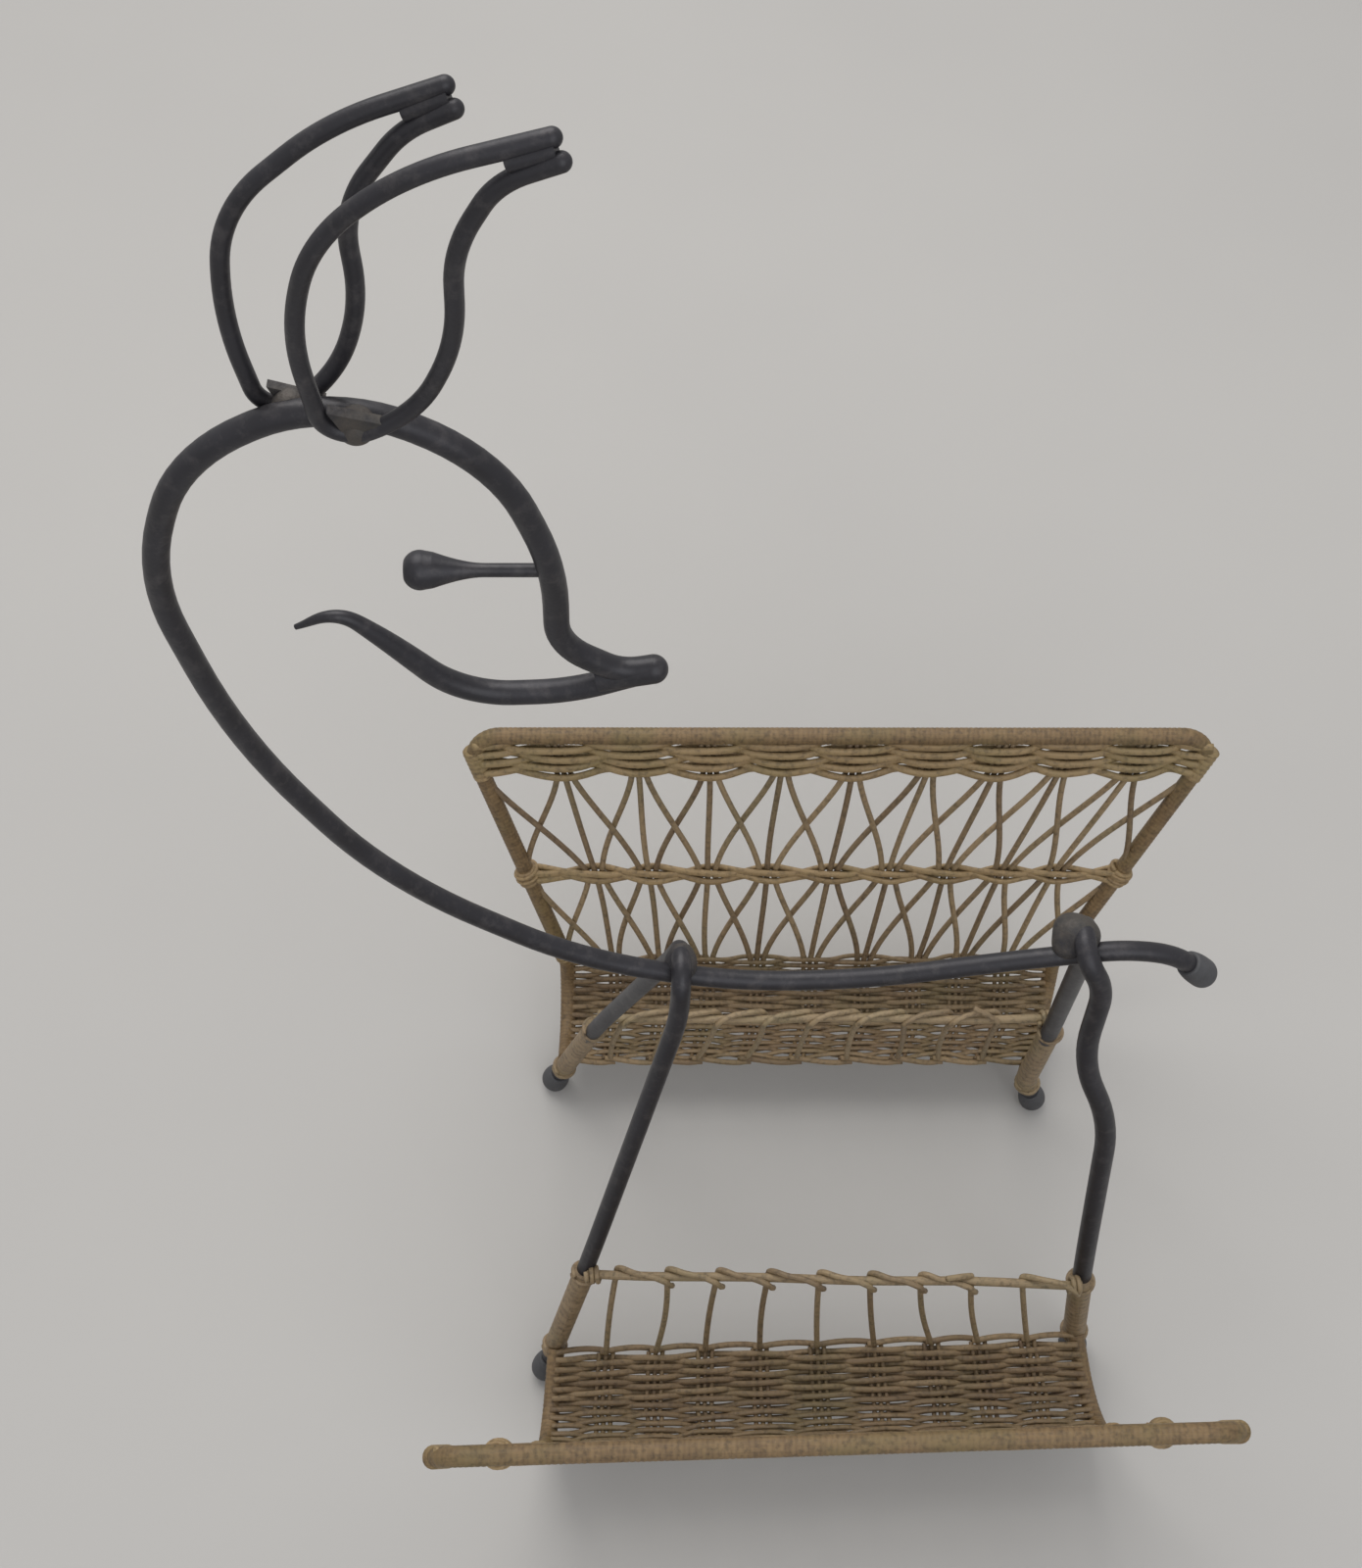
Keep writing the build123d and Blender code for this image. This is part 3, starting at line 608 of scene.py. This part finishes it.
for side, seed in ((NEAR, 31), (FAR, 32)):
    chance = random.Random(seed)
    band = Work()
    face = on_panel(side, 0.5, 0, 1) - on_panel(side, 0.5, 0, 0)
    for up in (-PAIR_OFFSET, PAIR_OFFSET):
        for strand in (0, 1):
            line = []
            wander = chance.uniform(0, 6)
            for share in np.linspace(0.004, 0.996, 260):
                phase = group_phase(MIDDLE_GROUPS, share) * math.pi + strand * math.pi
                pinch = 0.75 + 0.25 * math.cos(2 * (phase - strand * math.pi))
                out = 2.6 * math.cos(phase)
                rise = up * pinch * 1.1 + 1.0 * math.sin(phase) + 0.4 * math.sin(share * 17 + wander)
                line.append(on_panel(side, share, MIDDLE_AT + rise, out))
            band.strand(evenly(np.array(line), 0.0014), WEAVER_RADIUS, 10,
                        chance.uniform(0.3, 0.75), wide=WEAVER_WIDE, facing=face)
    band.piece(f"{side}_twined_band", weaver_cane, "cane", f"{side}_middle_band")

# ============================================================ rim bands
# Rows of plain weave close each outer panel under its rim. A weaver passes before one
# group and behind the next, and the lowest rows sag between two groups. Both ends of the
# band are turned round the frame.
RIM_ROWS = 8
RIM_SAG = 1.4
RIM_SWING = 2.9
RIM_WEAVER, RIM_WEAVER_WIDE = 1.5, 1.42
RIM_END_RADIUS = 4.7


def weave_line(place, groups, row, chance, ends, depth, wave, points=240):
    """A weaver that passes before and behind the groups in turn."""
    phase_slip = chance.uniform(-0.12, 0.12)
    drift = chance.uniform(0, 6)
    line = []
    for share in np.linspace(*ends, points):
        phase = (group_phase(groups, share) + row + phase_slip) * math.pi
        out = depth * math.tanh(1.7 * math.cos(phase))
        side_slip = wave * math.sin(share * 23 + drift) + wave * 0.6 * math.sin(share * 61 + 2 * drift)
        line.append(place(share, side_slip, out))
    return evenly(np.array(line), 0.0016)


for side, seed in ((NEAR, 41), (FAR, 42)):
    chance = random.Random(seed)
    band = Work()
    low, high = PANEL_SLOPE - RIM_WEAVE, PANEL_SLOPE - FRAME_RADIUS - WEAVER_RADIUS + 0.3
    face = on_panel(side, 0.5, 0, 1) - on_panel(side, 0.5, 0, 0)
    for row in range(RIM_ROWS):
        up = low + WEAVER_RADIUS + (high - low - WEAVER_RADIUS) * row / (RIM_ROWS - 1)

        def row_place(share, slip, out, up=up, row=row):
            swag = math.cos(2 * math.pi * group_phase(RIM_GROUPS, share))
            sag = RIM_SAG * swag * (1 - row / RIM_ROWS) ** 2
            return on_panel(side, share, up + slip - sag, out)

        line = weave_line(row_place, RIM_GROUPS, row, chance, (0.006, 0.994), RIM_SWING, 0.22)
        band.strand(line, RIM_WEAVER, 10, chance.uniform(0.35, 0.75), wide=RIM_WEAVER_WIDE,
                    facing=face)
    for end in (0, 1):
        turned = [on_panel(side, end, up) for up in np.linspace(low - 1, PANEL_SLOPE - 9, 60)]
        band.strand(turned, RIM_END_RADIUS, 18, rib=wound(chance, 2.9, 0.10, 0.15))
    band.piece(f"{side}_rim_weave", weaver_cane, "cane", f"{side}_rim_band")

# ============================================================ frame ties
# Turns of cane that tie the work to the frame: a thick knot at each end of the middle
# band, and a thinner one where the close weave ends.
TIES = ((67.0, 5, 1.25), (8.0, 4, 0.8))


def coil_round(centre, way, radius, thick, turns, pitch, start=0.0):
    """A coil round a rod, as the points of its strand."""
    aside = np.cross(way, (0, 1, 0))
    aside /= np.linalg.norm(aside)
    over = np.cross(way, aside)
    swing = np.linspace(0, turns * 2 * math.pi, int(turns * 20))
    reach = (radius + thick) * MM
    return [centre + way * ((s / (2 * math.pi) - turns / 2) * pitch * MM)
            + (aside * math.cos(s + start) + over * math.sin(s + start)) * reach for s in swing]


for side, seed in ((NEAR, 51), (FAR, 52)):
    chance = random.Random(seed)
    ties = Work()
    for up, turns, thick in TIES:
        for end in (0, 1):
            low, high = on_panel(side, end, up - 5), on_panel(side, end, up + 5)
            way = (high - low) / np.linalg.norm(high - low)
            coil = coil_round(on_panel(side, end, up), way, FRAME_RADIUS, thick * 0.6, turns, 1.9,
                              chance.uniform(0, 6))
            ties.strand(coil, thick, 9, chance.uniform(0.3, 0.8))
            if thick > 1.2:
                coil = coil_round(on_panel(side, end, up + 1), way, FRAME_RADIUS, thick * 1.6, 2.2, 3.2,
                                  chance.uniform(0, 6))
                ties.strand(coil, 1.0, 9, chance.uniform(0.3, 0.8))
    ties.piece(f"{side}_cane_ties", weaver_cane, "cane", f"{side}_frame_ties")

# ============================================================ close weave of the floors
# From the lowest knots the panel turns under and becomes the floor: thin weavers packed
# close round the groups. Its inner edge is finished with scallops, where the end of each
# group bends over to the next.
EDGE_LINE = (75.0, 34.0)
WEAVE_TOP = 4.5
ROW_PITCH = 2.3
FLOOR_SWING = 1.6
FLOOR_WEAVER, FLOOR_WEAVER_WIDE = 0.95, 1.55
floor_cane = cane_finish("floor_cane", (0.30, 0.215, 0.115), (0.20, 0.135, 0.07), (0.105, 0.065, 0.036),
                         (0.165, 0.125, 0.058, 1))


def flat_rounded(points, radius):
    """A bent line in a pocket's cross-section, in millimetres, evenly spaced."""
    placed = [np.array((0.0, *point)) * MM for point in points]
    return rounded(placed, (radius,), 0.0005)[:, 1:] / MM


WEAVE_TOP_LINE = (KNOT_LINE_ACROSS + WEAVE_TOP * math.tan(LEAN), KNOT_LINE_Z + WEAVE_TOP)
floor_section = flat_rounded((EDGE_LINE, FLOOR_LINE, WEAVE_TOP_LINE), FLOOR_BEND)
section_steps = np.linalg.norm(np.diff(floor_section, axis=0), axis=1)
section_along = np.concatenate(([0.0], np.cumsum(section_steps)))
FLOOR_LENGTH = section_along[-1]


def in_floor(side, share, length, out=0.0, slip=0.0):
    """A point of the close weave: share of its width, length from its inner edge, height
    off it on the inside, and a slip along the width."""
    length = min(max(length, 0.0), FLOOR_LENGTH)
    across, z = (np.interp(length, section_along, floor_section[:, k]) for k in (0, 1))
    ahead = [np.interp(min(length + 1, FLOOR_LENGTH), section_along, floor_section[:, k])
             - np.interp(max(length - 1, 0), section_along, floor_section[:, k]) for k in (0, 1)]
    size = math.hypot(*ahead)
    across, z = across - out * ahead[1] / size, z + out * ahead[0] / size
    lay = SIDES[side]
    flare = min(1.0, max(0.0, (across - EDGE_LINE[0]) / (FLOOR_LINE[0] - 12 - EDGE_LINE[0])))
    ends = [lay["ends"][end][0] + (side_x(side, z, end) - lay["ends"][end][0]) * flare for end in (0, 1)]
    inset = 2.0 if flare >= 1 else 0.5
    front, rear = ends[0] + inset, ends[1] - inset
    return pocket_point(side, front + (rear - front) * share + slip, across, z)


for side, seed in ((NEAR, 61), (FAR, 62)):
    chance = random.Random(seed)
    weave = Work()
    rows = int((FLOOR_LENGTH - 3) / ROW_PITCH)
    for row in range(rows):
        length = 3.0 + row * (FLOOR_LENGTH - 4.5) / (rows - 1)

        def floor_place(share, slip, out, length=length):
            return in_floor(side, share, length + slip, out)

        face = in_floor(side, 0.5, length, 1) - in_floor(side, 0.5, length, 0)
        line = weave_line(floor_place, LOW_GROUPS, row, chance, (0.0, 1.0), FLOOR_SWING, 0.34, 200)
        weave.strand(line, FLOOR_WEAVER, 9, chance.uniform(0.3, 0.7), wide=FLOOR_WEAVER_WIDE,
                     facing=face)
    for share in LOW_GROUPS:
        for slip in (-GROUP_GAP, 0, GROUP_GAP):
            stake = [in_floor(side, share, length, chance.uniform(-0.1, 0.1), slip)
                     for length in np.linspace(0.5, FLOOR_LENGTH, 40)]
            weave.strand(stake, REED_RADIUS * 0.75, 8, chance.uniform(0.1, 0.6))
    marks = (0.0, *LOW_GROUPS, 1.0)
    for here, there in zip(marks, marks[1:]):
        scallop = []
        for t in np.linspace(-0.12, 1.12, 22):
            share = min(max(here + (there - here) * t, 0.0), 1.0)
            reach = math.sin(math.pi * min(max(t, 0), 1)) ** 0.7
            place = in_floor(side, share, 0.0, 1.2 * math.cos(math.pi * t))
            outward = np.array((0, -SIDES[side]["sign"] * 0.9, 0.42)) * (0.2 + 1.4 * reach) * MM
            scallop.append(place + outward)
        weave.strand(evenly(np.array(scallop), 0.0012), REED_RADIUS * 0.95, 9, chance.uniform(0.3, 0.8))
    weave.piece(f"{side}_close_weave", floor_cane, "cane", f"{side}_floor_weave")

# ============================================================ inner rails and stakes
# A single reed of each group goes on from the floor's inner edge to a thicker rail between
# the legs, is bent round it, and runs along it over the next one. At the rear end of the
# near rail two ends have worked loose.
RAIL_Z, RAIL_RADIUS = 100.0, 2.1
RAIL_FIRST, RAIL_LAST = 0.06, 0.88
rail_cane = cane_finish("rail_cane", (0.38, 0.29, 0.17), (0.27, 0.195, 0.11), (0.135, 0.092, 0.054),
                        (0.23, 0.185, 0.10, 1))
RAIL_ENDS = {
    NEAR: ((-42.8, 62.0), (184.0, 67.0)),
    FAR: ((-41.0, 67.0), (183.2, 67.0)),
}
LOOSE = {NEAR: (7, 8), FAR: (8,)}

for side, seed in ((NEAR, 71), (FAR, 72)):
    chance = random.Random(seed)
    sign = SIDES[side]["sign"]
    (front_x, front_across), (rear_x, rear_across) = RAIL_ENDS[side]

    def on_rail(share, up=0.0, out=0.0):
        """A point by the rail; out is away from the donkey's middle."""
        x = front_x + (rear_x - front_x) * share
        across = front_across + (rear_across - front_across) * share
        return np.array(at(x, sign * (across + out), RAIL_Z + up))

    rail = Work()
    wobble = [on_rail(share, 0.5 * math.sin(share * 9 + seed), 0.4 * math.sin(share * 14))
              for share in np.linspace(0.0, 1.0, 90)]
    rail.strand(wobble, RAIL_RADIUS, 12, 0.6)
    for share in (0.012, 0.985):
        way = wobble[-1] - wobble[0]
        way = way / np.linalg.norm(way)
        rail.strand(coil_round(on_rail(share), way, RAIL_RADIUS, 1.2, 2.5, 2.4, share), 1.2, 8, 0.55)
    rail.piece(f"{side}_rail_reed", rail_cane, "cane", f"{side}_inner_rail")

    stakes, loops = Work(), Work()
    shares = [RAIL_FIRST + (RAIL_LAST - RAIL_FIRST) * k / (GROUPS - 1) for k in range(GROUPS)]
    for k, share in enumerate(shares):
        foot = in_floor(side, LOW_GROUPS[k], 1.0)
        head = on_rail(share, -0.5, -1.5)
        bow = np.array((chance.uniform(-2.0, 2.0), 0, 0)) * MM
        stake = [foot + (head - foot) * t + bow * math.sin(math.pi * t) for t in np.linspace(0, 1, 14)]
        tone = chance.uniform(0.3, 0.75)
        stakes.strand(stake, REED_RADIUS * 0.95, 9, tone)
        after = shares[k + 1] if k + 1 < GROUPS else 0.985
        lift = 6.0 if k in LOOSE[side] else chance.uniform(3.2, 4.4)
        span = after - share
        if k == LOOSE[side][0]:
            bend = [on_rail(share, -3.5, -2.2), on_rail(share, 1.5, -2.6),
                    on_rail(share - 0.02, 5.0, -1.0), on_rail(share - 0.055, 8.5, 1.5)]
        else:
            bend = [on_rail(share, -4.5, -2.0), on_rail(share, 0.0, -3.3),
                    on_rail(share + 0.012, 3.0, -2.2),
                    on_rail(share + span * 0.35, lift, 0.2), on_rail(share + span * 0.7, lift, 1.6),
                    on_rail(after - 0.004, 1.6, 3.4), on_rail(after + 0.006, -3.0, 3.6),
                    on_rail(after + 0.010, -5.6, 2.6)]
        curve = np.array(bend)
        knots = np.linspace(0, 1, len(curve))
        fine = np.linspace(0, 1, 40)
        smooth = np.stack([np.interp(fine, knots, curve[:, c]) for c in range(3)], axis=1)
        for _ in range(3):
            smooth[1:-1] = (smooth[:-2] + smooth[1:-1] * 2 + smooth[2:]) / 4
        loops.strand(smooth, REED_RADIUS * 0.92, 9, tone)
    stakes.piece(f"{side}_rail_stakes", rail_cane, "cane", f"{side}_inner_stakes")
    loops.piece(f"{side}_rail_loops", rail_cane, "cane", f"{side}_rail_knots")

# ============================================================ loose ends
# At the rear of the far pocket the knot of the middle band has frayed, and a few ends have
# sprung out of it.
FRAYED_ENDS, FRAYED_RADIUS = 7, 0.45
frayed = Work()
chance = random.Random(91)
knot = on_panel(FAR, 1.0, MIDDLE_AT)
for _ in range(FRAYED_ENDS):
    way = np.array((chance.uniform(0.1, 1.0), chance.uniform(-0.6, 0.4), chance.uniform(-0.9, 0.4)))
    reach = chance.uniform(4.0, 7.5) * MM
    curl = np.array((chance.uniform(-1, 1), chance.uniform(-1, 1), chance.uniform(-1, 1)))
    end = [knot + way * reach * t + curl * reach * 0.35 * math.sin(2.6 * t) for t in np.linspace(0.4, 1, 12)]
    frayed.strand(end, FRAYED_RADIUS, 6, chance.uniform(0.3, 0.8))
frayed.piece("far_frayed_ends", weaver_cane, "cane")

# ============================================================ finish
# The sizes before and after, so that the visual model can be held against the frame.
low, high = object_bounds()
{"cad": [list(cad_low), list(cad_high)], "visual": [list(low), list(high)]}
